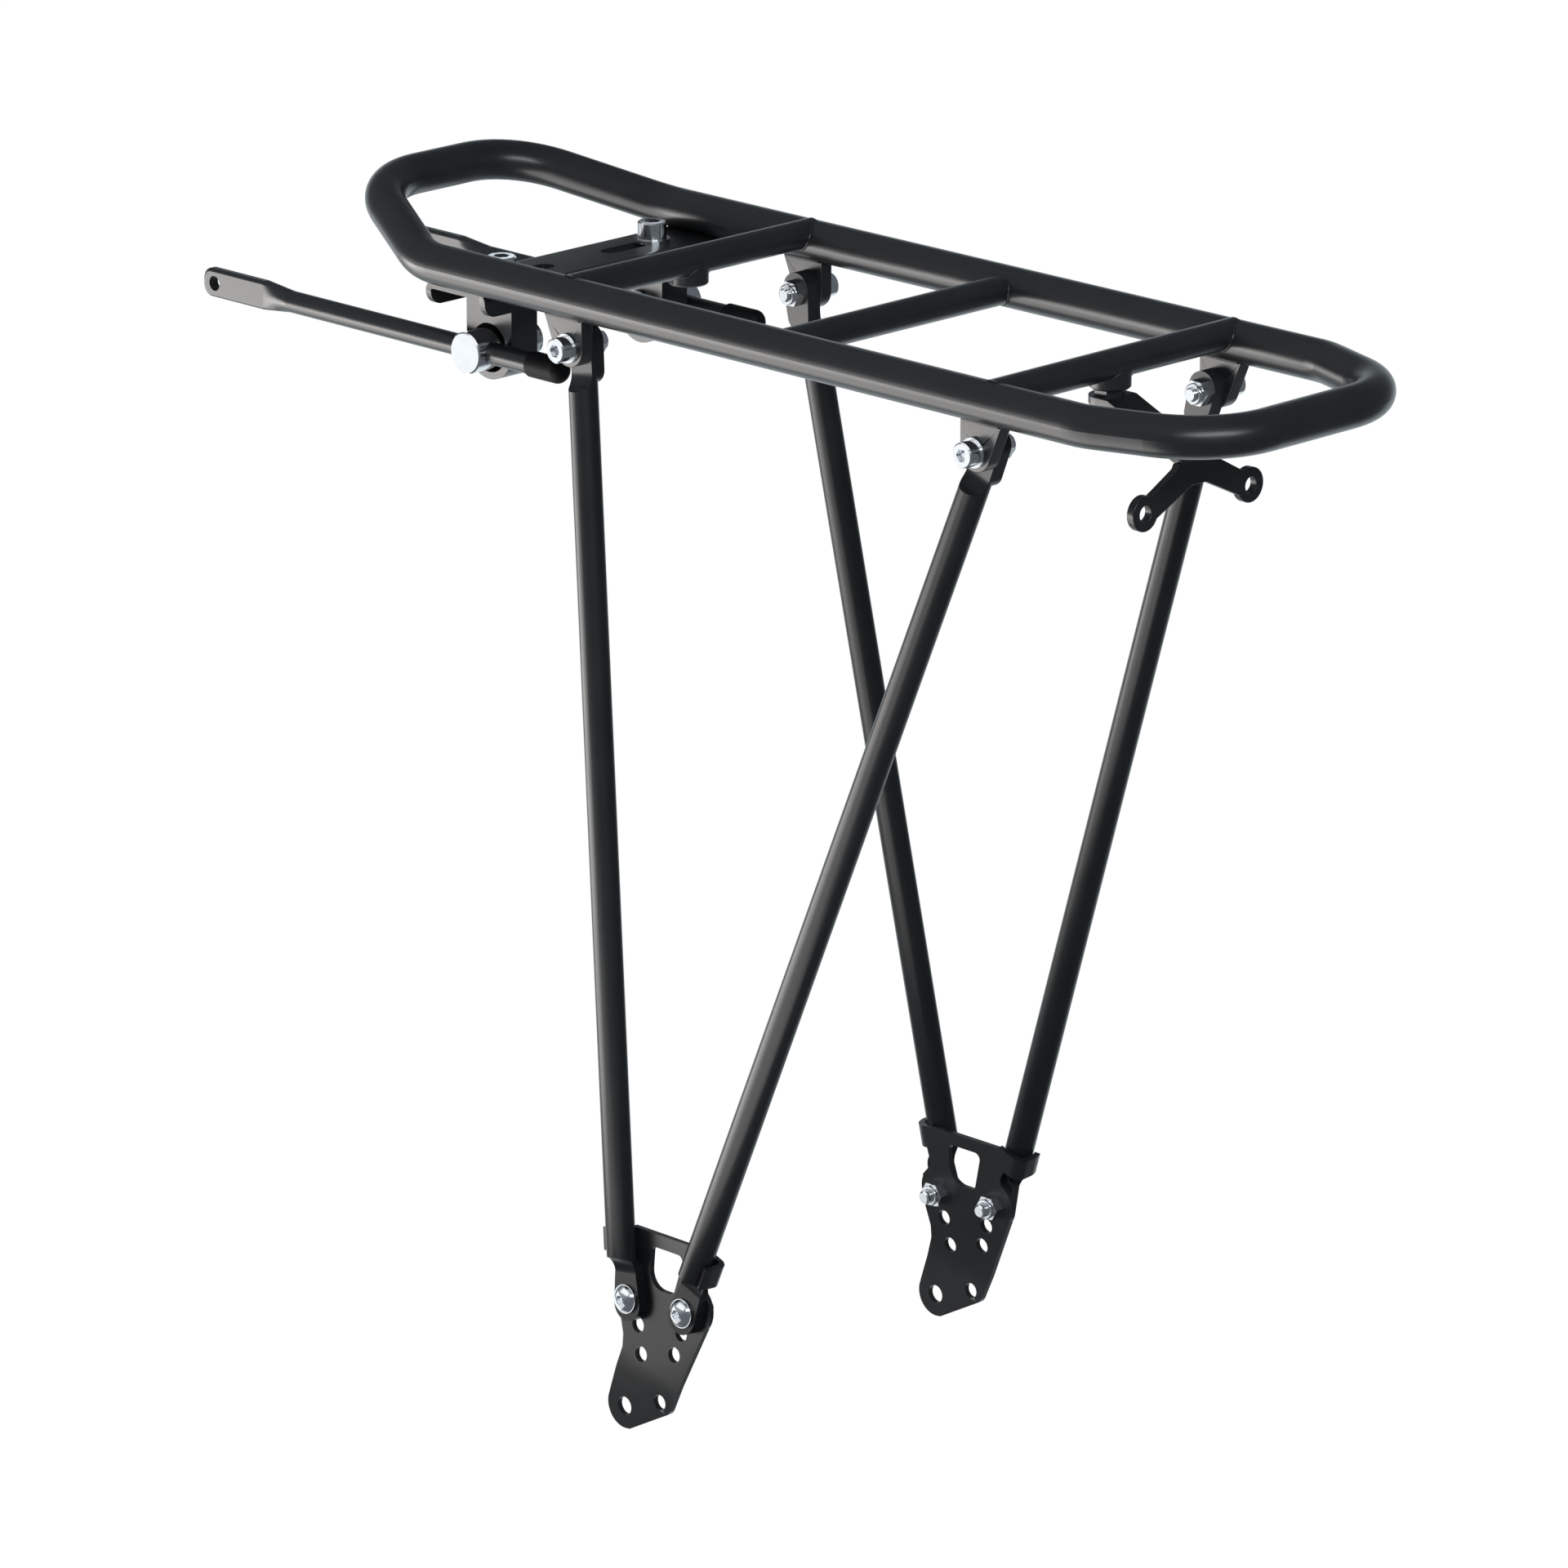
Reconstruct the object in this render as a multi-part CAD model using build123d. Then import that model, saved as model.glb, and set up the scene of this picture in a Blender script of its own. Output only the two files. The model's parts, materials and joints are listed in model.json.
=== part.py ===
from build123d import *
import os
from math import atan2, cos, degrees, hypot, radians, sin, tan

# Bicycle rear rack: a bent tube ring on four splayed legs, two foot plates that bolt to the dropout
# eyelets, and two stays that slide and swivel in clamps under the front of the ring.
# Millimetres. The origin is midway between the two dropout eyelets. +X points to the back of the
# bicycle, +Y to its right and +Z up. Left-hand pieces are drawn first and mirrored for the right.

# --- platform ring -----------------------------------------------------------------------------
platform_z = 375.4          # centre plane of the rails above the eyelets
rail_d = 14.0
rail_wall = 1.8
rail_half = 57.15           # rail centre line to the rack's middle
nose_bend_x = -115.6        # where the ring turns in and up at the front
nose_tilt = 14.8            # slope of the raised nose, degrees
nose_reach = 54.2           # along the slope, from the bend to the nose bar
nose_half = 32.6            # half the spacing of the nose's corner points
nose_bend_r = 31.2
nose_corner_r = 32.1
tail_bend_x = 188.2
tail_x = 231.0
tail_half = 42.3
tail_bend_r = 22.8
tail_corner_r = 31.8

# --- cross tubes and bosses --------------------------------------------------------------------
cross_d = 10.0
cross_wall = 1.5
cross_raise = 2.7           # front and rear cross tubes sit this much above the rail centres
front_tube_x = -44.7
middle_tube_x = 48.9
rear_tube_x = 148.3
boss_d = 13.8
boss_forward = 2.0          # boss axis ahead of its cross tube's axis
boss_bottom_z = platform_z - 5.6
boss_hole_top_z = platform_z - 0.7
m5_tapped_d = 4.2

# --- legs, tabs and foot plates ----------------------------------------------------------------
leg_d = 10.0
lean = 4.87                 # the plane of each pair of legs leans out by this many degrees
leg_foot_y = 83.37          # where that plane meets the height of the eyelets
pivot_z = 358.6             # height of the four upper leg screws
front_pivot_x = -43.7
rear_pivot_x = 142.7
front_foot = (2.7, 40.15)   # lower leg screws: x, and height along the leaning plane
rear_foot = (29.5, 42.05)
tab_thickness = 5.0
tab_outer_y = 59.0
tab_round = 6.6
tab_slant = 13.0            # how far the tab's slanted side starts from its screw
tab_slant_deg = 27          # where on the round that side ends, below its middle
top_flat = (48.1, 54.0)     # the legs' upper flats lie between these distances from the middle
foot_flat = (-5.2, -1.4)    # the lower flats, measured outwards from the legs' plane
flat_round = 6.0
top_flat_tail = 8.5         # length of each flat from its screw, before the round rod takes over
foot_flat_tail = 8.6
shoulder_at = 15.0          # from a leg screw to the dished shoulder
plate_thickness = 2.0
plate_bend_z = 13.9         # below this height the foot plate is upright
eyelet_d = 6.5
second_eyelet = (17.0, 5.8)
height_holes = ((5.2, 30.3), (7.5, 20.5), (25.7, 32.5), (23.0, 24.3))
m5_clear_d = 5.5
hook_bore_r = 5.2           # inside radius of the hooks that run round the legs
front_hook = {"shift": 0.8, "bend_r": 6.8, "curl": 3}    # their centres lie outside the legs' axes;
rear_hook = {"shift": 0.3, "bend_r": 3.9, "curl": 28}    # curl is how far they close, degrees
hook_height = 8.0
hook_v = 60.0               # height of the hooks along the leaning plane

# --- fasteners ---------------------------------------------------------------------------------
thread_slack = 0.05         # radial room between a thread and what it turns in
m5 = {"shank": 5.0, "head": 8.5, "head_h": 5.0, "key": 4.0, "nut": 8.0, "nut_h": 4.7, "washer": 10.0}
m5_button = {"shank": 5.0, "head": 9.5, "head_h": 2.75, "key": 3.0}
m6 = {"shank": 6.0, "head": 10.0, "head_h": 6.0, "key": 5.0, "washer": 12.4}
washer_h = 1.2
foot_washer_h = 1.0

# --- stay channel and clamps -------------------------------------------------------------------
channel_x = -100.5
channel_width = 29.0
channel_wall = 2.5
channel_top_z = platform_z - 6.5
channel_drop = 8.5          # outside height of the channel's flanges
channel_half_length = 57.0
channel_corner_r = 5.0
slot_inner_y = 12.0
slot_outer_y = 41.5
slot_width = 6.5
block_y = (29.5, 41.5)
block_width = 22.0
clamp_z = platform_z - 30.2
barrel_d = 14.4
barrel_end_y = 52.8
seat_d = 17.0               # round pocket in the bracket's outer face
seat_depth = 5.5
m8_d = 8.0
m8_nut = 13.0
m8_nut_h = 6.4
m8_washer_d = 15.0
m8_washer_h = 1.4
m8_end_y = 20.4

# --- stays -------------------------------------------------------------------------------------
stay_y = 46.2
stay_d = 7.6
stay_fit = 0.05             # radial room in the clamp barrel
stay_tip_x = -238.5
stay_hole_x = -232.5
stay_flat_x = -207.5        # the flat ends here
stay_round_x = -194.0       # and the rod is round from here
stay_end_x = -61.5
stay_flat_height = 10.2
stay_flat_thickness = 4.0
stay_hole_d = 5.3
cap_d = 9.0
cap_length = 15.8
cap_depth = 12.8            # how far the rod goes into the cap

# --- light bracket -----------------------------------------------------------------------------
strap_width = 14.0
strap_thickness = 3.0
strap_drop = 23.0           # slope of the strap, degrees
spacer_h = 2.2
lamp_face_x = 185.5         # rear face of the upright plate
lamp_hole_z = platform_z - 35.4
lamp_half = 25.0
lamp_hole_d = 5.4
ear_r = 5.9

lean_normal = (0, -cos(radians(lean)), sin(radians(lean)))
LEAN = Plane(origin=(0, -leg_foot_y, 0), x_dir=(1, 0, 0), z_dir=lean_normal)
pivot_v = pivot_z / cos(radians(lean))


def cylinder(start, end, diameter):
    """Solid round bar between two points."""
    start, end = Vector(*start), Vector(*end)
    return extrude(Plane(origin=start, z_dir=end - start) * Circle(diameter / 2), (end - start).length)


def tube(start, end, diameter, wall):
    return cylinder(start, end, diameter) - cylinder(start, end, diameter - 2 * wall)


def across(x, z, y_from, y_to, diameter):
    """Round bar along Y."""
    return cylinder((x, y_from, z), (x, y_to, z), diameter)


def outward(y):
    """Plane facing the bicycle's left at y, with local x along X and local y up."""
    return Plane(origin=(0, y, 0), x_dir=(1, 0, 0), z_dir=(0, -1, 0))


def right(solid):
    """The right-hand copy of a left-hand piece."""
    return mirror(solid, about=Plane.XZ)


def both(solid):
    return [solid, right(solid)]


# --- ring --------------------------------------------------------------------------------------
def ring_path():
    tilt = radians(nose_tilt)
    nose = (nose_bend_x - nose_reach * cos(tilt), platform_z + nose_reach * sin(tilt))
    corners = [
        (nose_bend_x, -rail_half, platform_z),
        (nose[0], -nose_half, nose[1]),
        (nose[0], nose_half, nose[1]),
        (nose_bend_x, rail_half, platform_z),
        (tail_bend_x, rail_half, platform_z),
        (tail_x, tail_half, platform_z),
        (tail_x, -tail_half, platform_z),
        (tail_bend_x, -rail_half, platform_z),
    ]
    radii = [nose_bend_r, nose_corner_r, nose_corner_r, nose_bend_r,
             tail_bend_r, tail_corner_r, tail_corner_r, tail_bend_r]
    start = (middle_tube_x + 5, -rail_half, platform_z)
    middle = (middle_tube_x + 5, rail_half, platform_z)
    front = FilletPolyline(start, *corners[:4], middle, radius=radii[:4])
    back = FilletPolyline(middle, *corners[4:], start, radius=radii[4:])
    return front, back


def make_ring(diameter):
    halves = []
    for path in ring_path():
        section = Plane(origin=path @ 0, z_dir=path % 0) * Circle(diameter / 2)
        halves.append(sweep(section, path=path))
    return halves[0] + halves[1]


def cross_tube(x, z, envelope):
    """Straight tube between the rails, its ends saddled to the rails' round sides."""
    return tube((x, -rail_half, z), (x, rail_half, z), cross_d, cross_wall) - envelope


def boss_hole(tube_x, diameter):
    """Hole up through the boss and the cross tube's lower wall."""
    axis_x = tube_x - boss_forward
    return cylinder((axis_x, 0, boss_bottom_z - 1), (axis_x, 0, boss_hole_top_z), diameter)


def boss(tube_x, hole_d):
    axis_x = tube_x - boss_forward
    top = platform_z + cross_raise - 1
    body = cylinder((axis_x, 0, boss_bottom_z), (axis_x, 0, top), boss_d)
    edges = body.edges().filter_by(GeomType.CIRCLE).sort_by(Axis.Z)[0:1]
    body = chamfer(edges, 0.6)
    tube_z = platform_z + cross_raise
    body -= across(tube_x, tube_z, -20, 20, cross_d)
    return body - boss_hole(tube_x, hole_d)


# --- tabs --------------------------------------------------------------------------------------
def make_tab(pivot_x, slant_side, envelope):
    """Plate under a rail: upright on one side, slanted on the other, round at the screw."""
    top_z = platform_z - 3
    upright = pivot_x - slant_side * tab_round
    slanted = pivot_x + slant_side * tab_slant
    tangent = radians(tab_slant_deg)
    meets_round = (pivot_x + slant_side * tab_round * cos(tangent), pivot_z - tab_round * sin(tangent))
    wedge = Polyline((upright, pivot_z), (upright, top_z), (slanted, top_z), meets_round,
                     (pivot_x, pivot_z), close=True)
    face = outward(-tab_outer_y) * (make_face(wedge) + Pos(pivot_x, pivot_z) * Circle(tab_round))
    body = extrude(face, -tab_thickness)
    body -= across(pivot_x, pivot_z, -tab_outer_y - 1, -tab_outer_y + tab_thickness + 1, m5_clear_d)
    return body - envelope


# --- legs --------------------------------------------------------------------------------------
def axis_point(pivot_x, foot, distance_from_foot):
    """Point on a leg's axis in the leaning plane, measured up from the foot screw."""
    length = hypot(pivot_x - foot[0], pivot_v - foot[1])
    t = distance_from_foot / length
    return (foot[0] + t * (pivot_x - foot[0]), foot[1] + t * (pivot_v - foot[1]))


def leg_length(pivot_x, foot):
    return hypot(pivot_x - foot[0], pivot_v - foot[1])


def scoop(plane, center, direction_deg, inner, reach):
    """Cutter that dishes the rod's outer side away down to a flat, ending in a round shoulder."""
    shoulder = 6.0
    profile = Polyline((-12, inner), (reach - shoulder, inner), (reach - shoulder, inner + 14),
                       (-12, inner + 14), close=True)
    dish = make_face(profile) + Pos(reach - shoulder, inner + shoulder) * Circle(shoulder)
    side = plane * Location((center[0], center[1], 0), (0, 0, direction_deg))
    cut_plane = Plane(side) * Rotation(90, 0, 0)
    return extrude(cut_plane * dish, 10, both=True)


def hull_flat(plane, near, far_center, round_r, from_d, to_d):
    """Flat end: the hull of a round about the screw and the rod's own width further on."""
    outline = Sketch() + [Pos(*near) * Circle(round_r), Pos(*far_center) * Circle(leg_d / 2 - 0.1)]
    face = make_hull(outline.edges())
    return extrude(plane.offset(from_d) * face, to_d - from_d)


def make_leg(pivot_x, foot):
    """Forged rod: full round in the middle, flattened and dished at both ends."""
    length = leg_length(pivot_x, foot)
    heading = degrees(atan2(pivot_v - foot[1], pivot_x - foot[0]))
    low = axis_point(pivot_x, foot, 7.5)
    high = axis_point(pivot_x, foot, length - 7.5)
    rod = cylinder(LEAN.from_local_coords((*low, 0)), LEAN.from_local_coords((*high, 0)), leg_d)

    foot_end = axis_point(pivot_x, foot, -1.8)
    foot_tail = axis_point(pivot_x, foot, foot_flat_tail)
    foot_end_flat = hull_flat(LEAN, foot_end, foot_tail, flat_round, *foot_flat)
    rod -= scoop(LEAN, foot, heading, foot_flat[1], shoulder_at)

    upright = outward(-top_flat[0])
    top_tail = axis_point(pivot_x, foot, length - top_flat_tail)
    drop = top_flat_tail * cos(radians(lean))
    top_end_flat = hull_flat(upright, (pivot_x, pivot_z + 1.2),
                             (top_tail[0], pivot_z - drop), flat_round - 0.3, 0, top_flat[1] - top_flat[0])
    rod -= scoop(outward(0), (pivot_x, pivot_z), heading + 180, top_flat[1], shoulder_at)

    body = rod + foot_end_flat + top_end_flat
    body -= across(pivot_x, pivot_z, -70, -40, m5_clear_d)
    drill = LEAN * Location((*foot, 0)) * Cylinder(m5_clear_d / 2, 30)
    return body - drill


# --- foot plates -------------------------------------------------------------------------------
def corner(face, x, y):
    """The vertex of a flat face nearest to a point."""
    return face.vertices().sort_by_distance((x, y, 0))[0]


def plate_outline():
    """Side view of the foot plate between its hooks."""
    eyelet_round = 8.0
    front_round, rear_round = 7.6, 9.0
    top_z = hook_v * cos(radians(lean)) + hook_height / 2
    under_hook_z = top_z - hook_height
    front_z = front_foot[1] * cos(radians(lean))
    rear_z = rear_foot[1] * cos(radians(lean))
    body = Polyline(
        (-7.3, 3.5), (-1.6, 21.0), (-1.6, 25.5), (-4.4, 35.0), (-4.0, 44.5), (0.2, 49.0),
        (-1.4, under_hook_z), (0, under_hook_z), (0, top_z), (35.8, top_z), (35.8, under_hook_z),
        (33.0, 51.0), (38.1, 45.0), (36.9, 36.6), (21.7, 2.8), (2.2, -7.9), (-4, -6), close=True)
    face = make_face(body)
    face = fillet([corner(face, 0.2, 49.0), corner(face, 33.0, 51.0)], 2.5)
    face = fillet(corner(face, 21.7, 2.8), 5.0)
    face += Circle(eyelet_round)
    face += Pos(front_foot[0], front_z) * Circle(front_round)
    face += Pos(rear_foot[0], rear_z) * Circle(rear_round)
    return face


def plate_window():
    """Rounded opening between the two legs."""
    face = make_face(Polyline((9.3, 59.2), (24.9, 59.2), (21.0, 44.7), (9.3, 44.7), close=True))
    face = fillet(corner(face, 9.3, 44.7), 6.5)
    return fillet([corner(face, 9.3, 59.2), corner(face, 24.9, 59.2), corner(face, 21.0, 44.7)], 2.2)


def bent_sheet():
    """The sheet that the plate is cut from: leaning above the bend, upright below it."""
    outer = LEAN.from_local_coords((0, plate_bend_z / cos(radians(lean)), foot_flat[0]))
    top = LEAN.from_local_coords((0, 80, foot_flat[0]))
    t = plate_thickness
    section = Polyline((outer.Y, -12), (outer.Y, outer.Z), (top.Y, top.Z), (top.Y + t, top.Z),
                       (outer.Y + t, outer.Z), (outer.Y + t, -12), close=True)
    return extrude(Plane.YZ.offset(-60) * make_face(section), 160)


def hook_edge(side, hook, radius, bend_r):
    """One side of the strip, seen along the leg: x runs across the leg and y outwards."""
    reach = side * radius
    rise = FilletPolyline((-side * 4, -radius), (reach, -radius), (reach, 0), radius=bend_r)
    return rise, CenterArc((0, 0), radius, 90 - side * 90, side * hook["curl"])


def make_hook(pivot_x, foot, side, hook):
    """Strip that runs round a leg: side is -1 for the front leg, +1 for the rear."""
    rise = (hook_v - foot[1]) / (pivot_v - foot[1])
    center_x = foot[0] + rise * (pivot_x - foot[0]) + side * hook["shift"]
    heading = degrees(atan2(pivot_v - foot[1], pivot_x - foot[0])) - 90
    middle = LEAN * Location((center_x, hook_v, foot_flat[0] + hook_bore_r), (0, 0, heading))
    t = plate_thickness
    inner, inner_arc = hook_edge(side, hook, hook_bore_r, hook["bend_r"] - t)
    outer, outer_arc = hook_edge(side, hook, hook_bore_r + t, hook["bend_r"])
    section = make_face([inner, inner_arc, Line(inner_arc @ 1, outer_arc @ 1), outer_arc, outer,
                         Line(outer @ 0, inner @ 0)])
    return extrude(Plane(middle) * Rotation(90, 0, 0) * section, hook_height / 2, both=True)


def make_foot_plate():
    sheet = bent_sheet()
    outline_prism = extrude(outward(-60) * (plate_outline() - plate_window()), 40)
    body = sheet & outline_prism
    body += make_hook(front_pivot_x, front_foot, -1, front_hook)
    body += make_hook(rear_pivot_x, rear_foot, 1, rear_hook)
    for x, z in height_holes:
        body -= across(x, z, -95, -60, m5_clear_d)
    for x, v in [front_foot, rear_foot]:
        body -= LEAN * Location((x, v, 0)) * Cylinder(m5_clear_d / 2, 30)
    body -= across(0, 0, -95, -60, eyelet_d)
    return body - across(*second_eyelet, -95, -60, m5_clear_d)


# --- fasteners ---------------------------------------------------------------------------------
def hexagon(across_flats):
    return RegularPolygon(across_flats / 2, 6, major_radius=False)


def cap_screw(size, length):
    """Socket cap screw standing on z=0, its shank pointing down."""
    head = extrude(Circle(size["head"] / 2), size["head_h"])
    head = chamfer(head.edges().filter_by(GeomType.CIRCLE).sort_by(Axis.Z)[-1:], 0.5)
    head -= Pos(0, 0, size["head_h"] * 0.45) * extrude(hexagon(size["key"]), size["head_h"])
    shank = Pos(0, 0, -length) * extrude(Circle(size["shank"] / 2 - thread_slack), length + 0.5)
    shank = chamfer(shank.edges().filter_by(GeomType.CIRCLE).sort_by(Axis.Z)[0:1], 0.6)
    return head + shank


def button_screw(size, length):
    """Dome-headed socket screw."""
    r, h = size["head"] / 2, size["head_h"]
    dome_r = (r * r + h * h) / (2 * h)
    dome = Pos(0, 0, h - dome_r) * Sphere(dome_r)
    head = dome & extrude(Circle(r), h + 1)
    head -= Pos(0, 0, h - 1.5) * extrude(hexagon(size["key"]), 3)
    shank = Pos(0, 0, -length) * extrude(Circle(size["shank"] / 2 - thread_slack), length + 0.5)
    shank = chamfer(shank.edges().filter_by(GeomType.CIRCLE).sort_by(Axis.Z)[0:1], 0.6)
    return head + shank


def washer(outer, inner, height):
    return extrude(Circle(outer / 2) - Circle(inner / 2), height)


def lock_nut(flats, height, bore_d):
    """Hex nut with a round nylon collar, standing on z=0."""
    hex_part = extrude(hexagon(flats), height * 0.68)
    from_base = (Align.CENTER, Align.CENTER, Align.MIN)
    hex_part &= Cone(flats * 0.78, flats * 0.38, height * 1.2, align=from_base)
    collar = extrude(Circle(flats / 2 - 0.35), height)
    collar = fillet(collar.edges().filter_by(GeomType.CIRCLE).sort_by(Axis.Z)[-1:], 0.7)
    return hex_part + collar - extrude(Circle(bore_d / 2), height)


# --- stay channel, brackets and clamps ---------------------------------------------------------
def make_channel(envelope):
    """Channel open downwards, across the rails, with two slots for the bracket screws."""
    half = channel_width / 2
    z1, z0 = channel_top_z, channel_top_z - channel_drop
    outer = Polyline((-half, z0), (-half, z1), (half, z1), (half, z0), close=True)
    inner = Polyline((-half + channel_wall, z0 - 1), (-half + channel_wall, z1 - channel_wall),
                     (half - channel_wall, z1 - channel_wall), (half - channel_wall, z0 - 1), close=True)
    outer_face = fillet(make_face(outer).vertices().sort_by(Axis.Y)[-2:], 3.5)
    inner_face = fillet(make_face(inner).vertices().sort_by(Axis.Y)[-2:], 0.8)
    section = Plane.XZ * Pos(channel_x, 0) * (outer_face - inner_face)
    body = extrude(section, channel_half_length, both=True)
    side = Rectangle(2 * channel_half_length, 40)
    side = Pos(0, z0 + 20) * side
    side = fillet(side.vertices().sort_by(Axis.Y)[:2], channel_corner_r)
    body &= extrude(Plane.YZ.offset(channel_x) * side, channel_width, both=True)
    slot_length = slot_outer_y - slot_inner_y
    for sign in (-1, 1):
        center = (channel_x, sign * (slot_inner_y + slot_outer_y) / 2, channel_top_z)
        slot = Rotation(0, 0, 90) * SlotOverall(slot_length, slot_width)
        body -= Pos(*center) * extrude(slot, 6, both=True)
    return body - envelope


def make_block():
    """Stay bracket: a block in the channel, tapped on top, with a round pocket for the clamp."""
    y_in, y_out = block_y
    middle_y = -(y_in + y_out) / 2
    top = channel_top_z - channel_wall
    outline = Pos(channel_x, clamp_z) * Circle(block_width / 2)
    outline += Pos(channel_x, (clamp_z + top) / 2) * Rectangle(block_width, top - clamp_z)
    body = extrude(outward(-y_in) * outline, y_out - y_in)
    body -= across(channel_x, clamp_z, -60, -20, m8_d + 2 * thread_slack)
    body -= across(channel_x, clamp_z, -y_out - 1, -y_out + seat_depth, seat_d)
    return body - cylinder((channel_x, middle_y, top + 1), (channel_x, middle_y, top - 11), m6["shank"])


def make_clamp_bolt():
    """Round-headed bolt, cross-drilled for the stay."""
    seat_y = -block_y[1] + seat_depth
    barrel = across(channel_x, clamp_z, seat_y - 0.3, -barrel_end_y, barrel_d)
    barrel = chamfer(barrel.edges().filter_by(GeomType.CIRCLE).sort_by(Axis.Y)[0:1], 0.5)
    shank = across(channel_x, clamp_z, seat_y - 1, -m8_end_y, m8_d)
    shank = chamfer(shank.edges().filter_by(GeomType.CIRCLE).sort_by(Axis.Y)[-1:], 0.8)
    hole = cylinder((channel_x - 15, -stay_y, clamp_z), (channel_x + 15, -stay_y, clamp_z),
                    stay_d + 2 * stay_fit)
    return barrel + shank - hole


def make_stay():
    """Round rod with a flattened, drilled front end."""
    rod = cylinder((stay_round_x, -stay_y, clamp_z), (stay_end_x, -stay_y, clamp_z), stay_d)
    rod = chamfer(rod.edges().filter_by(GeomType.CIRCLE).sort_by(Axis.X)[-1:], 0.6)
    h, t = stay_flat_height, stay_flat_thickness
    length = stay_flat_x - stay_tip_x
    side = Pos(stay_tip_x + length / 2, clamp_z) * Rectangle(length, h)
    side = fillet(side.vertices().sort_by(Axis.X)[:2], 4.0)
    flat = extrude(outward(-stay_y) * side, t / 2, both=True)
    flat = fillet(flat.edges().filter_by(Axis.X), 1.2)
    start = Plane(origin=(stay_flat_x, -stay_y, clamp_z), z_dir=(1, 0, 0), x_dir=(0, 1, 0))
    end = Plane(origin=(stay_round_x, -stay_y, clamp_z), z_dir=(1, 0, 0), x_dir=(0, 1, 0))
    neck = loft([start * RectangleRounded(t, h, 1.2), end * Circle(stay_d / 2)])
    return rod + neck + flat - across(stay_hole_x, clamp_z, -60, -30, stay_hole_d)


def make_stay_cap():
    """Rubber cap pushed over the rod's rear end."""
    start = stay_end_x - cap_depth
    body = cylinder((start, -stay_y, clamp_z), (start + cap_length, -stay_y, clamp_z), cap_d)
    body = fillet(body.edges().filter_by(GeomType.CIRCLE).sort_by(Axis.X)[-1:], 3.4)
    body = fillet(body.edges().filter_by(GeomType.CIRCLE).sort_by(Axis.X)[0:1], 0.4)
    return body - cylinder((start - 1, -stay_y, clamp_z), (stay_end_x, -stay_y, clamp_z), stay_d)


# --- light bracket -----------------------------------------------------------------------------
def light_plate():
    """Upright plate with two drilled ears, seen from behind: y across, z up."""
    z = lamp_hole_z
    arm = Polyline((-7.5, z + 16.5), (7.5, z + 16.5), (10.3, z + 11.5), (19.6, z + 6.4), (24.5, z + 4.0),
                   (20.6, z - 3.0), (16.0, z - 0.8), (3.4, z + 5.2), (-3.4, z + 5.2), (-16.0, z - 0.8),
                   (-20.6, z - 3.0), (-24.5, z + 4.0), (-19.6, z + 6.4), (-10.3, z + 11.5), close=True)
    face = make_face(arm)
    for sign in (-1, 1):
        face += Pos(sign * lamp_half, z) * Circle(ear_r)
        face -= Pos(sign * lamp_half, z) * Circle(lamp_hole_d / 2)
    return face


def make_light_bracket():
    """One bent strip: a pad under the boss, a sloping strap and the upright plate."""
    axis_x = rear_tube_x - boss_forward
    t = strap_thickness
    pad_z = boss_bottom_z - spacer_h
    bend_x = axis_x + 5.2
    face_x = lamp_face_x - t
    drop = (lamp_face_x - bend_x) * tan(radians(strap_drop))
    side = Polyline((axis_x - 7, pad_z), (bend_x, pad_z), (lamp_face_x, pad_z - drop),
                    (lamp_face_x, pad_z - drop - 6), (face_x, pad_z - drop - 6),
                    (face_x, pad_z - drop - t / 2), (bend_x - 0.6, pad_z - t),
                    (axis_x - 7, pad_z - t), close=True)
    strip = extrude(Plane.XZ * make_face(side), strap_width / 2, both=True)
    outline = Pos(axis_x, 0) * Circle(strap_width / 2)
    outline += Pos((axis_x + lamp_face_x) / 2 + 5, 0) * Rectangle(lamp_face_x - axis_x + 10, strap_width)
    strip &= Pos(0, 0, pad_z - 60) * extrude(outline, 80)
    plate = extrude(Plane.YZ.offset(face_x) * light_plate(), t)
    plate = plate - Pos(face_x, 0, pad_z - drop + 30) * Box(40, 60, 60)
    body = strip + plate
    return body - cylinder((axis_x, 0, pad_z - 10), (axis_x, 0, pad_z + 5), 5.2)


def light_spacer():
    """Thin hex nut that sets the strap off the boss."""
    body = extrude(hexagon(9.0) - Circle(m5["shank"] / 2), spacer_h)
    return Pos(rear_tube_x - boss_forward, 0, boss_bottom_z - spacer_h) * body


def light_screw():
    under = boss_bottom_z - spacer_h - strap_thickness
    return Pos(rear_tube_x - boss_forward, 0, under) * Rotation(180, 0, 0) * button_screw(m5_button, 10)


# --- placing the fasteners ---------------------------------------------------------------------
def upper_fasteners():
    screws, washers, nuts = [], [], []
    for x in (front_pivot_x, rear_pivot_x):
        seat = outward(-tab_outer_y) * Pos(x, pivot_z)
        washers += both(seat * washer(m5["washer"], m5["shank"] + 0.3, washer_h))
        screws += both(seat * Pos(0, 0, washer_h) * cap_screw(m5, 18))
        inside = Plane(origin=(x, -top_flat[0], pivot_z), x_dir=(1, 0, 0), z_dir=(0, 1, 0))
        nuts += both(inside * lock_nut(m5["nut"], m5["nut_h"], m5["shank"]))
    return screws, washers, nuts


def foot_fasteners():
    screws, washers, nuts = [], [], []
    for x, v in (front_foot, rear_foot):
        seat = LEAN.offset(foot_flat[1])
        washers += both(seat * Pos(x, v) * washer(m5["washer"], m5["shank"] + 0.3, foot_washer_h))
        screws += both(seat.offset(foot_washer_h) * Pos(x, v) * button_screw(m5_button, 14))
        inner = LEAN.offset(foot_flat[0] - plate_thickness) * Pos(x, v) * Rotation(180, 0, 0)
        nuts += both(inner * lock_nut(m5["nut"], m5["nut_h"], m5["shank"]))
    return screws, washers, nuts


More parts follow.
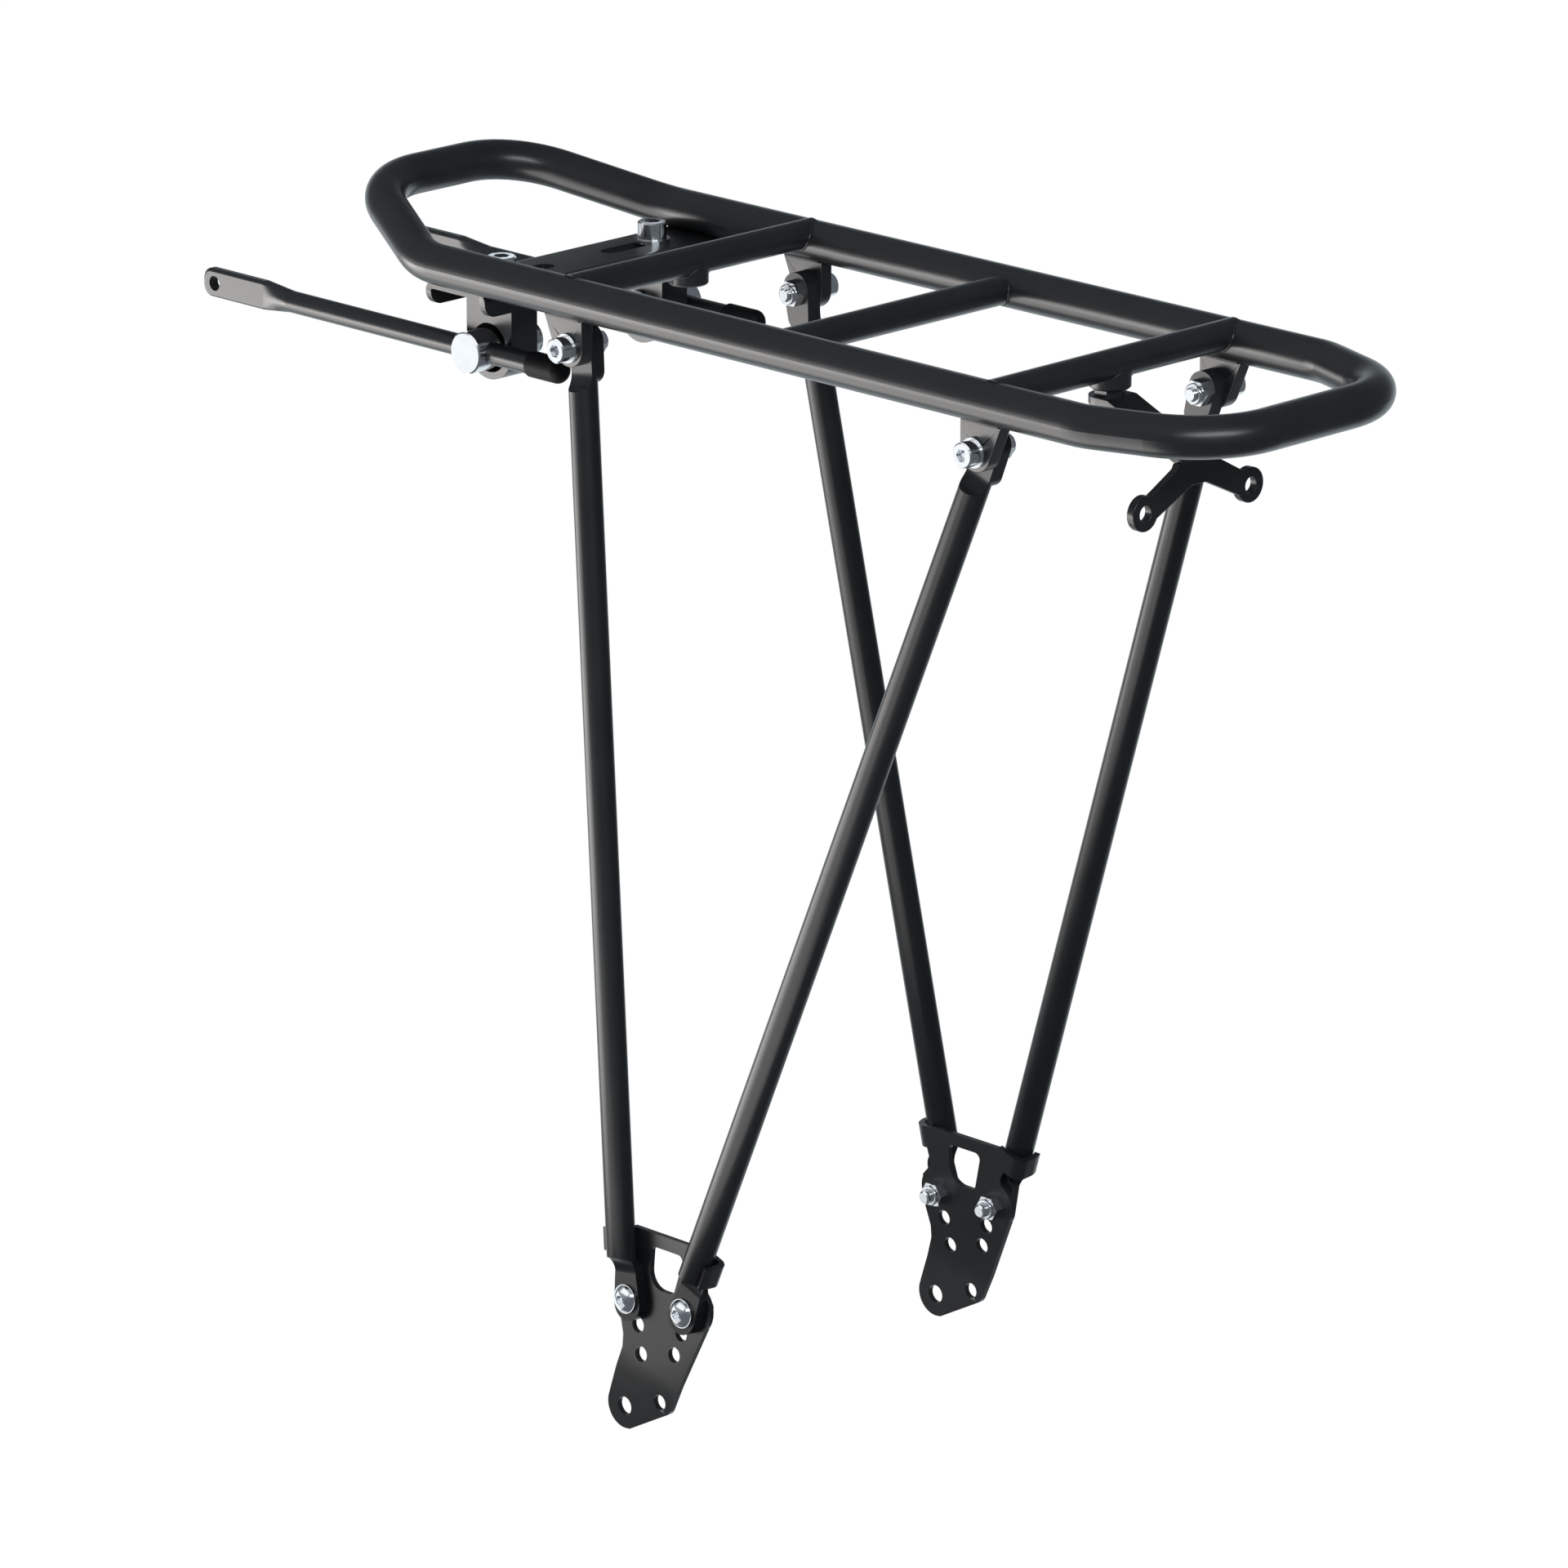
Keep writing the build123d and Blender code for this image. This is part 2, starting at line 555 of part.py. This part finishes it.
def bracket_fasteners():
    """Screw and washer on the channel, and the nut and washer on the clamp bolt's inner end."""
    middle_y = -(block_y[0] + block_y[1]) / 2
    on_top = Pos(channel_x, middle_y, channel_top_z)
    plate_washer = on_top * washer(m6["washer"], m6["shank"] + 0.4, washer_h)
    screw = on_top * Pos(0, 0, washer_h) * cap_screw(m6, 12)
    inside = Plane(origin=(channel_x, -block_y[0], clamp_z), x_dir=(1, 0, 0), z_dir=(0, 1, 0))
    nut_washer = inside * washer(m8_washer_d, m8_d + 0.2, m8_washer_h)
    nut = inside.offset(m8_washer_h) * lock_nut(m8_nut, m8_nut_h, m8_d)
    return screw, plate_washer, nut_washer, nut


def build():
    envelope = make_ring(rail_d)
    parts = {"top_ring": envelope - make_ring(rail_d - 2 * rail_wall)}
    raised = platform_z + cross_raise
    front_hole = boss_hole(front_tube_x, m5_tapped_d)
    rear_hole = boss_hole(rear_tube_x, m5["shank"])
    parts["cross_tube_front"] = cross_tube(front_tube_x, raised, envelope) - front_hole
    parts["cross_tube_middle"] = cross_tube(middle_tube_x, platform_z, envelope)
    parts["cross_tube_rear"] = cross_tube(rear_tube_x, raised, envelope) - rear_hole
    parts["stay_channel"] = make_channel(envelope)
    parts["boss_front"] = boss(front_tube_x, m5_tapped_d)
    parts["boss_rear"] = boss(rear_tube_x, m5["shank"])
    parts["light_bracket"] = make_light_bracket()
    parts["light_bracket_spacer_nut"] = light_spacer()
    parts["light_bracket_screw"] = light_screw()

    screw, plate_washer, nut_washer, nut = bracket_fasteners()
    handed = {
        "leg_tab_front": make_tab(front_pivot_x, -1, envelope),
        "leg_tab_rear": make_tab(rear_pivot_x, 1, envelope),
        "leg_front": make_leg(front_pivot_x, front_foot),
        "leg_rear": make_leg(rear_pivot_x, rear_foot),
        "foot_plate": make_foot_plate(),
        "stay_bracket": make_block(),
        "bracket_screw": screw,
        "bracket_washer": plate_washer,
        "clamp_bolt": make_clamp_bolt(),
        "clamp_washer": nut_washer,
        "clamp_nut": nut,
        "stay": make_stay(),
        "stay_end_cap": make_stay_cap(),
    }
    for name, solid in handed.items():
        parts[name + "_left"] = solid
        parts[name + "_right"] = right(solid)

    parts["leg_screws"], parts["leg_screw_washers"], parts["leg_nuts"] = upper_fasteners()
    parts["foot_screws"], parts["foot_screw_washers"], parts["foot_nuts"] = foot_fasteners()
    return parts


def write(parts):
    os.makedirs("parts", exist_ok=True)
    for name, shape in parts.items():
        solids = shape if isinstance(shape, list) else [shape]
        solids = [solid for item in solids for solid in item.solids()]
        export_step(Compound(children=solids) if len(solids) > 1 else solids[0], f"parts/{name}.step")


write(build())
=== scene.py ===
import json
import math

import bmesh
import bpy
from mathutils import Matrix, Vector

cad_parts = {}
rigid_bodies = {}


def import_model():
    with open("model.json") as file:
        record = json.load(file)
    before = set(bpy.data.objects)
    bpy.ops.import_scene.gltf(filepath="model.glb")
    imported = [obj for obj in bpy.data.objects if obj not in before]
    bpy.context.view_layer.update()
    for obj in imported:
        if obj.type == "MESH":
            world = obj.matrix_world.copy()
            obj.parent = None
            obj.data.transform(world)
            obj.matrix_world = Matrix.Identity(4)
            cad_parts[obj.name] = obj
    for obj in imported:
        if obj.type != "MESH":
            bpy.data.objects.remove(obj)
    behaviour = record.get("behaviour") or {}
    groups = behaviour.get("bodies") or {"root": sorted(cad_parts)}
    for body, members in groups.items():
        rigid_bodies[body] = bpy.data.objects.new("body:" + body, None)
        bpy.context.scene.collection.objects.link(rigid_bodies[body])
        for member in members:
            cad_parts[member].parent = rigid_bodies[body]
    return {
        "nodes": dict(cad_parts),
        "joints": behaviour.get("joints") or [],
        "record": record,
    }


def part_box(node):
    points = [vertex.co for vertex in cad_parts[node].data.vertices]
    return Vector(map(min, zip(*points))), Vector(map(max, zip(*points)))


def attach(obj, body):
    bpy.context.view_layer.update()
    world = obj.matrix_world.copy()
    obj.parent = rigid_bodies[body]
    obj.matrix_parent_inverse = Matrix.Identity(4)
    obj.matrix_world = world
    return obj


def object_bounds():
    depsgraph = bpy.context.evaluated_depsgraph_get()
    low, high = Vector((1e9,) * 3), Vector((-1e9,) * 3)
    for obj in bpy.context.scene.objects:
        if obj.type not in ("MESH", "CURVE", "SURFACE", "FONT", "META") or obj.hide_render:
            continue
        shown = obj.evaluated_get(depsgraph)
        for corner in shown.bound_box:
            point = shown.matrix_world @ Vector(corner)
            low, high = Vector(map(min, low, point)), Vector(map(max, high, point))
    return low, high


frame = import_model()
cad_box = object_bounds()
nodes = frame["nodes"]

MM = 0.001
RAIL_Y = 57.15 * MM         # each rail's axis is this far to the side
RAIL_Z = 375.4 * MM         # and at this height
RAIL_R = 7 * MM
CROSS_R = 5 * MM            # radius of the cross tubes
CROSS_RAISE = 2.7 * MM      # the front and rear ones sit this much above the rails' axes
BOSS_AHEAD = 2 * MM         # each boss's axis is this far ahead of its cross tube's
LEG_LEAN = math.radians(4.87)
LEG_FOOT_Y = 83.37          # mm, where the legs' leaning plane meets the height of the origin
FOOT_SCREWS = ((2.7, 40.15), (29.5, 42.05))     # mm, x and height along the leaning plane
FOOT_THREAD_END = 13.8      # mm, from that plane inwards to the end of the thread


# ---------------------------------------------------------------- materials
def new_material(name):
    mat = bpy.data.materials.new(name)
    mat.use_nodes = True
    tree = mat.node_tree
    tree.nodes.clear()
    out = tree.nodes.new("ShaderNodeOutputMaterial")
    shader = tree.nodes.new("ShaderNodeBsdfPrincipled")
    tree.links.new(shader.outputs[0], out.inputs[0])
    return mat, tree, shader


def place(tree):
    """Object coordinates in metres."""
    return tree.nodes.new("ShaderNodeTexCoord").outputs["Object"]


def noise(tree, vector, scale, detail):
    node = tree.nodes.new("ShaderNodeTexNoise")
    node.inputs["Scale"].default_value = scale
    node.inputs["Detail"].default_value = detail
    tree.links.new(vector, node.inputs["Vector"])
    return node.outputs[0]


def shades(tree, value, colour, dark, light):
    """The colour, made darker where value is low and lighter where it is high."""
    node = tree.nodes.new("ShaderNodeValToRGB")
    ends = node.color_ramp.elements
    for end, position, factor in ((ends[0], 0.3, dark), (ends[1], 0.7, light)):
        end.position = position
        end.color = (*(c * factor for c in colour), 1)
    tree.links.new(value, node.inputs[0])
    return node.outputs[0]


def remap(tree, value, low, high):
    node = tree.nodes.new("ShaderNodeMapRange")
    node.inputs["To Min"].default_value = low
    node.inputs["To Max"].default_value = high
    tree.links.new(value, node.inputs["Value"])
    return node.outputs[0]


def bump(tree, height, strength, distance, under=None):
    node = tree.nodes.new("ShaderNodeBump")
    node.inputs["Strength"].default_value = strength
    node.inputs["Distance"].default_value = distance
    tree.links.new(height, node.inputs["Height"])
    if under is not None:
        tree.links.new(under, node.inputs["Normal"])
    return node.outputs[0]


def powder_coat(name, colour, rough, gloss=0.5):
    """Satin powder coat: faint orange peel, finer grain, and slight changes of gloss."""
    mat, tree, shader = new_material(name)
    at = place(tree)
    peel = noise(tree, at, 900, 2)
    grain = noise(tree, at, 4200, 1)
    cloud = noise(tree, at, 45, 3)
    tree.links.new(shades(tree, cloud, colour, 0.9, 1.12), shader.inputs["Base Color"])
    tree.links.new(remap(tree, cloud, rough - 0.03, rough + 0.03), shader.inputs["Roughness"])
    normal = bump(tree, peel, 0.045, 0.00012)
    normal = bump(tree, grain, 0.07, 0.00004, normal)
    tree.links.new(normal, shader.inputs["Normal"])
    shader.inputs["Specular IOR Level"].default_value = gloss
    return mat


def plated(name, colour, rough):
    """Bright plated steel with fine turning marks and a little uneven shine."""
    mat, tree, shader = new_material(name)
    at = place(tree)
    fine = noise(tree, at, 2600, 2)
    cloud = noise(tree, at, 160, 2)
    tree.links.new(shades(tree, cloud, colour, 0.93, 1), shader.inputs["Base Color"])
    tree.links.new(remap(tree, fine, rough - 0.04, rough + 0.06), shader.inputs["Roughness"])
    tree.links.new(bump(tree, fine, 0.02, 0.00003), shader.inputs["Normal"])
    shader.inputs["Metallic"].default_value = 1.0
    return mat


def moulded(name, colour, rough):
    """Matt moulded rubber, with a weak shine."""
    mat, tree, shader = new_material(name)
    at = place(tree)
    grain = noise(tree, at, 3000, 3)
    cloud = noise(tree, at, 120, 2)
    tree.links.new(shades(tree, cloud, colour, 0.8, 1.25), shader.inputs["Base Color"])
    tree.links.new(remap(tree, grain, rough - 0.05, rough + 0.05), shader.inputs["Roughness"])
    tree.links.new(bump(tree, grain, 0.2, 0.00006), shader.inputs["Normal"])
    shader.inputs["Specular IOR Level"].default_value = 0.12
    return mat


SATIN_BLACK = (0.012, 0.0128, 0.014)
coat = powder_coat("black_powder_coat", SATIN_BLACK, 0.3)
steel_coat = powder_coat("black_coated_steel", SATIN_BLACK, 0.3)
# The legs get a slightly darker, less glossy copy of the same coat: painted shade that dims the key
# light's highlight on them
leg_painted_shade_coat = powder_coat("black_leg_coat_painted_shade", (0.011, 0.012, 0.0132), 0.3, 0.3)
dark = powder_coat("black_fastener", (0.010, 0.010, 0.011), 0.28)
chrome = plated("bright_plating", (0.80, 0.81, 0.83), 0.15)
rubber = moulded("black_rubber", (0.004, 0.004, 0.0045), 0.55)

by_slot = {
    "black_aluminium": coat,
    "black_steel": steel_coat,
    "bright_steel": chrome,
    "dark_fastener": dark,
    "rubber": rubber,
}
slot_of = {s["node"]: s["material_slot"] for s in frame["record"]["subparts"]}
for name, obj in nodes.items():
    obj.data.materials.clear()
    # Legs take the darker copy of the coat (painted shade), not a different finish
    is_leg = name.startswith(("leg_front", "leg_rear"))
    obj.data.materials.append(leg_painted_shade_coat if is_leg else by_slot[slot_of[name]])


# ---------------------------------------------------------------- edges and small detail
def soften_edges(obj, width):
    """Rounds a CAD part's sharp edges, as its coating does."""
    weld = obj.modifiers.new("weld", "WELD")
    weld.merge_threshold = 0.000002
    bevel = obj.modifiers.new("soft_edges", "BEVEL")
    bevel.width = width
    bevel.segments = 2
    bevel.limit_method = "ANGLE"
    bevel.angle_limit = math.radians(40)
    bevel.miter_outer = "MITER_ARC"
    normals = obj.modifiers.new("flat_faces", "WEIGHTED_NORMAL")
    normals.keep_sharp = False
    normals.weight = 80


EDGES = {               # mm, by the start of the node's name
    "foot_plate": 0.35,
    "leg_tab": 0.3,
    "stay_bracket": 0.35,
    "stay_channel": 0.3,
    "light_bracket": 0.3,
}
for name, obj in nodes.items():
    for start, width in EDGES.items():
        if name.startswith(start) and "screw" not in name and "nut" not in name:
            soften_edges(obj, width * MM)


def new_piece(name, bm, slot, body):
    """Makes the mesh a smooth-shaded piece that moves with a body."""
    bmesh.ops.recalc_face_normals(bm, faces=bm.faces)
    mesh = bpy.data.meshes.new(name)
    bm.to_mesh(mesh)
    bm.free()
    mesh.materials.append(by_slot[slot])
    for polygon in mesh.polygons:
        polygon.use_smooth = True
    obj = bpy.data.objects.new(name, mesh)
    bpy.context.scene.collection.objects.link(obj)
    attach(obj, body)


def skin(bm, rings):
    """Closed skin over a row of rings, with a cap on each end."""
    rings = [[bm.verts.new(p) for p in ring] for ring in rings]
    for ring, after in zip(rings, rings[1:]):
        for i in range(len(ring)):
            j = (i + 1) % len(ring)
            bm.faces.new((ring[i], ring[j], after[j], after[i]))
    bm.faces.new(rings[0])
    bm.faces.new(rings[-1])


def bead(bm, path, outward, radius):
    """Weld bead along a path: a low round ridge with the faint ripples of each pass.
    outward has the rough direction that it faces at each point."""
    ripple, pitch, sides = 0.07, 1.4 * MM, 10
    rings = []
    run = 0.0
    for i, point in enumerate(path):
        before, after = path[max(i - 1, 0)], path[min(i + 1, len(path) - 1)]
        run += (point - before).length
        along = (after - before).normalized()
        out = (outward[i] - along * outward[i].dot(along)).normalized()
        side = along.cross(out)
        r = radius * (1 + ripple * math.sin(run / pitch * math.tau))
        turns = (k * math.tau / sides for k in range(sides))
        rings.append([point + (side * math.cos(a) + out * math.sin(a)) * r for a in turns])
    skin(bm, rings)


def cross_tube_welds(name):
    """Bead under and beside each end of a cross tube, where it meets the rails."""
    first, sweep, steps = 140, 260, 60      # degrees round the tube, leaving its top clear
    low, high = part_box(name)
    x, z = (low.x + high.x) / 2, (low.z + high.z) / 2
    bm = bmesh.new()
    for side in (-1, 1):
        path, outward = [], []
        for k in range(steps + 1):
            a = math.radians(first + sweep * k / steps)
            height = z + CROSS_R * math.sin(a) - RAIL_Z
            y = RAIL_Y - math.sqrt(RAIL_R ** 2 - height ** 2)
            path.append(Vector((x + CROSS_R * math.cos(a), side * y, RAIL_Z + height)))
            outward.append(Vector((math.cos(a), -side * 0.9, math.sin(a))))
        bead(bm, path, outward, 0.5 * MM)
    new_piece(name + "_welds", bm, "black_aluminium", "rack")


def tab_welds(name):
    """Beads where a tab's two faces meet the underside of its rail."""
    inset, steps = 0.06, 26                 # inset is the share of the tab left clear at each end
    low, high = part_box(name)
    bm = bmesh.new()
    for y, facing in ((low.y, -1), (high.y, 1)):
        z = RAIL_Z - math.sqrt(RAIL_R ** 2 - (abs(y) - RAIL_Y) ** 2)
        path = []
        for k in range(steps + 1):
            share = inset + (1 - 2 * inset) * k / steps
            path.append(Vector((low.x + (high.x - low.x) * share, y, z)))
        bead(bm, path, [Vector((0, facing, -0.8))] * len(path), 0.5 * MM)
    new_piece(name + "_welds", bm, "black_aluminium", "rack")


def boss_weld(name):
    """Beads where the two sides of a boss meet the cross tube over it."""
    half_run, steps = 4.7 * MM, 30          # just short of the tube's radius
    low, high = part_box(name)
    boss_x, boss_r = (low.x + high.x) / 2, (high.x - low.x) / 2
    bm = bmesh.new()
    for side in (-1, 1):
        path, outward = [], []
        for k in range(steps + 1):
            from_tube = half_run * (2 * k / steps - 1)
            x = BOSS_AHEAD + from_tube
            y = side * math.sqrt(boss_r ** 2 - x ** 2)
            z = RAIL_Z + CROSS_RAISE - math.sqrt(CROSS_R ** 2 - from_tube ** 2)
            path.append(Vector((boss_x + x, y, z)))
            outward.append(Vector((x / boss_r, y / boss_r, -0.4)))
        bead(bm, path, outward, 0.4 * MM)
    new_piece(name + "_weld", bm, "black_aluminium", "rack")


def thread(bm, start, axis, radius, length, pitch):
    """Helical ridge round a bolt, from start along axis. It rises and fades over a quarter turn."""
    per_turn, fade_steps = 28, 7
    clear = 0.45                            # pitches left without a ridge at each end
    root, crest = radius - 0.05 * MM, 0.12 * MM
    foot, top = axis * pitch * 0.42, axis * pitch * 0.06
    u = axis.orthogonal().normalized()
    v = axis.cross(u)
    steps = int(per_turn * (length / pitch - 2 * clear))
    rings = []
    for k in range(steps + 1):
        a = k / per_turn * math.tau
        base = start + axis * (pitch * (clear + k / per_turn))
        spoke = u * math.cos(a) + v * math.sin(a)
        ridge = radius + crest * min(1.0, (k + 1) / fade_steps, (steps - k + 1) / fade_steps)
        rings.append([base + spoke * root - foot, base + spoke * ridge - top,
                      base + spoke * ridge + top, base + spoke * root + foot])
    skin(bm, rings)


def bolt_threads(node, body, tips, radius, length, pitch):
    """Thread on the ends that stand out of the nuts: tips are (end, direction to the head)."""
    bm = bmesh.new()
    for tip, to_head in tips:
        thread(bm, tip + to_head * length, -to_head, radius, length, pitch)
    new_piece(node + "_threads", bm, "bright_steel", body)


def foot_screw_tips():
    """Ends of the four lower leg screws, which stand square to the legs' leaning planes."""
    tips = []
    for x, height in FOOT_SCREWS:
        for side in (-1, 1):
            outwards = Vector((0, side * math.cos(LEG_LEAN), math.sin(LEG_LEAN)))
            up = Vector((0, -side * math.sin(LEG_LEAN), math.cos(LEG_LEAN)))
            foot = Vector((x, side * LEG_FOOT_Y, 0)) + up * height
            tips.append(((foot - outwards * FOOT_THREAD_END) * MM, outwards))
    return tips


def clamp_bolt_tip(hand, side):
    """Inner end of a clamp bolt, behind its chamfer, and the direction to its head."""
    chamfer = 0.8 * MM
    swivel = next(j for j in frame["joints"] if j["name"] == "stay_swivel_" + hand)
    axis_x, _, axis_z = swivel["pos_m"]
    low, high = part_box("clamp_bolt_" + hand)
    inner_y = min(abs(low.y), abs(high.y))
    return Vector((axis_x, side * (inner_y + chamfer), axis_z)), Vector((0, side, 0))


for cross in ("cross_tube_front", "cross_tube_middle", "cross_tube_rear"):
    cross_tube_welds(cross)
for tab in [name for name in nodes if name.startswith("leg_tab")]:
    tab_welds(tab)
for boss in ("boss_front", "boss_rear"):
    boss_weld(boss)
bolt_threads("foot_screws", "rack", foot_screw_tips(),
             radius=2.45 * MM, length=2.4 * MM, pitch=0.8 * MM)
for side, hand in ((-1, "left"), (1, "right")):
    bolt_threads("clamp_bolt_" + hand, "clamp_" + hand, [clamp_bolt_tip(hand, side)],
                 radius=3.98 * MM, length=1.9 * MM, pitch=0.9 * MM)


# ---------------------------------------------------------------- stage
def floor_piece():
    """Pale floor just under the foot plates. Only the camera sees it, so it throws no light back."""
    mat, tree, shader = new_material("pale_floor")
    shader.inputs["Base Color"].default_value = (0.01, 0.01, 0.01, 1)
    shader.inputs["Roughness"].default_value = 0.9
    shader.inputs["Specular IOR Level"].default_value = 0.0
    shader.inputs["Emission Color"].default_value = (1, 1, 1, 1)
    shader.inputs["Emission Strength"].default_value = 1.0
    z = cad_box[0].z - 0.6 * MM
    half = 40
    corners = [(-half, -half, z), (half, -half, z), (half, half, z), (-half, half, z)]
    mesh = bpy.data.meshes.new("floor")
    mesh.from_pydata(corners, [], [(0, 1, 2, 3)])
    mesh.materials.append(mat)
    floor = bpy.data.objects.new("floor", mesh)
    floor.visible_glossy = False
    floor.visible_diffuse = False
    floor.visible_shadow = False
    bpy.context.scene.collection.objects.link(floor)


def glow_toward(tree, direction, toward, start, full):
    """0 to 1: how near a direction is to the middle of a soft glow. start and full are cosines
    of the angle from the middle where the glow begins and where it is full."""
    dot = tree.nodes.new("ShaderNodeVectorMath")
    dot.operation = "DOT_PRODUCT"
    dot.inputs[1].default_value = Vector(toward).normalized()
    tree.links.new(direction, dot.inputs[0])
    spread = tree.nodes.new("ShaderNodeMapRange")
    spread.interpolation_type = "SMOOTHSTEP"
    spread.inputs["From Min"].default_value = start
    spread.inputs["From Max"].default_value = full
    tree.links.new(dot.outputs["Value"], spread.inputs["Value"])
    return spread.outputs[0]


def mix_in(tree, under, colour, factor):
    mix = tree.nodes.new("ShaderNodeMix")
    mix.data_type = "RGBA"
    mix.inputs["B"].default_value = (*colour, 1)
    tree.links.new(factor, mix.inputs["Factor"])
    if isinstance(under, tuple):
        mix.inputs["A"].default_value = (*under, 1)
    else:
        tree.links.new(under, mix.inputs["A"])
    return mix.outputs["Result"]


def backdrop_light():
    """White where the camera sees it. The object sees a dim room with a soft sky and a bright
    patch low behind it, which lights the rims of its tubes."""
    world = bpy.data.worlds.new("studio")
    world.use_nodes = True
    tree = world.node_tree
    direction = tree.nodes.new("ShaderNodeTexCoord").outputs["Generated"]
    sky = glow_toward(tree, direction, (-0.3, -0.5, 0.8), 0.3, 0.97)
    behind = glow_toward(tree, direction, (-0.6, 0.6, -0.5), 0.64, 0.84)
    colour = mix_in(tree, (0.13, 0.145, 0.16), (0.32, 0.35, 0.38), sky)
    colour = mix_in(tree, colour, (0.86, 0.96, 1.0), behind)
    light_path = tree.nodes.new("ShaderNodeLightPath")
    colour = mix_in(tree, colour, (1, 1, 1), light_path.outputs["Is Camera Ray"])
    tree.links.new(colour, tree.nodes["Background"].inputs["Color"])
    bpy.context.scene.world = world
    bpy.context.scene.view_settings.view_transform = "Standard"


def soft_box(name, at, aim, size, brightness, colour):
    """Rectangular light facing a point. brightness is what a mirror would show of it."""
    at, aim = Vector(at), Vector(aim)
    light = bpy.data.lights.new(name, "AREA")
    light.shape = "RECTANGLE"
    light.size, light.size_y = size
    light.energy = brightness * math.pi * size[0] * size[1]
    light.color = colour
    obj = bpy.data.objects.new(name, light)
    obj.location = at
    obj.rotation_mode = "QUATERNION"
    obj.rotation_quaternion = (aim - at).to_track_quat("-Z", "Y")
    bpy.context.scene.collection.objects.link(obj)
    return obj


def pieces_of(plated_only):
    """The plated fasteners, or everything coated or moulded: each group has its own lights."""
    group = bpy.data.collections.new("plated" if plated_only else "coated")
    for obj in bpy.context.scene.objects:
        if obj.type == "MESH" and (obj.data.materials[0] == chrome) == plated_only:
            group.objects.link(obj)
    return group


def studio():
    floor_piece()
    backdrop_light()
    warm, cool, neutral = (1.0, 0.97, 0.945), (0.88, 0.95, 1.0), (0.98, 1.0, 1.0)
    coat_lights = [
        soft_box("key", (-1.11, -0.86, -0.03), (0, 0, 0.05), (1.35, 0.46), 4.9, warm),
        soft_box("bounce", (-0.61, -0.59, 0.05), (-0.61, -0.59, 1), (1.6, 0.9), 3.6, warm),
    ]
    soft_box("back_strip", (1.43, -0.58, 1.08), (0.22, -0.04, 0.375), (1.3, 0.25), 9.0, cool)
    plating_lights = [
        soft_box("side_card", (-1.11, -0.86, 0.05), (0, 0, 0.1), (1.35, 0.9), 1.08, neutral),
        soft_box("fill_behind", (-0.9, 0.95, 0.75), (0, 0, 0.37), (1.2, 0.7), 0.9, cool),
        soft_box("fill_low", (-0.9, -0.7, -0.75), (0, 0, 0.1), (2.6, 1.0), 0.75, neutral),
        soft_box("fill_high", (-0.3, -1.0, 1.25), (0, 0, 0.2), (2.2, 0.9), 0.9, neutral),
    ]
    for plated_only, lights in ((False, coat_lights), (True, plating_lights)):
        group = pieces_of(plated_only)
        for light in lights:
            light.light_linking.receiver_collection = group


def photo_camera():
    cam = bpy.data.cameras.new("photo_camera")
    cam.sensor_width = 36
    cam.lens = 200.5
    cam.clip_start, cam.clip_end = 0.1, 100
    obj = bpy.data.objects.new("photo_camera", cam)
    right = Vector((0.709041, 0.705165, 0.002022)).normalized()
    forward = Vector((-0.672799, 0.677350, -0.297552)).normalized()
    up = right.cross(forward)
    turn = Matrix((right, up, -forward)).transposed()
    obj.matrix_world = Matrix.Translation((1.98601, -2.00036, 1.08241)) @ turn.to_4x4()
    bpy.context.scene.collection.objects.link(obj)
    bpy.context.scene.camera = obj


studio()
photo_camera()
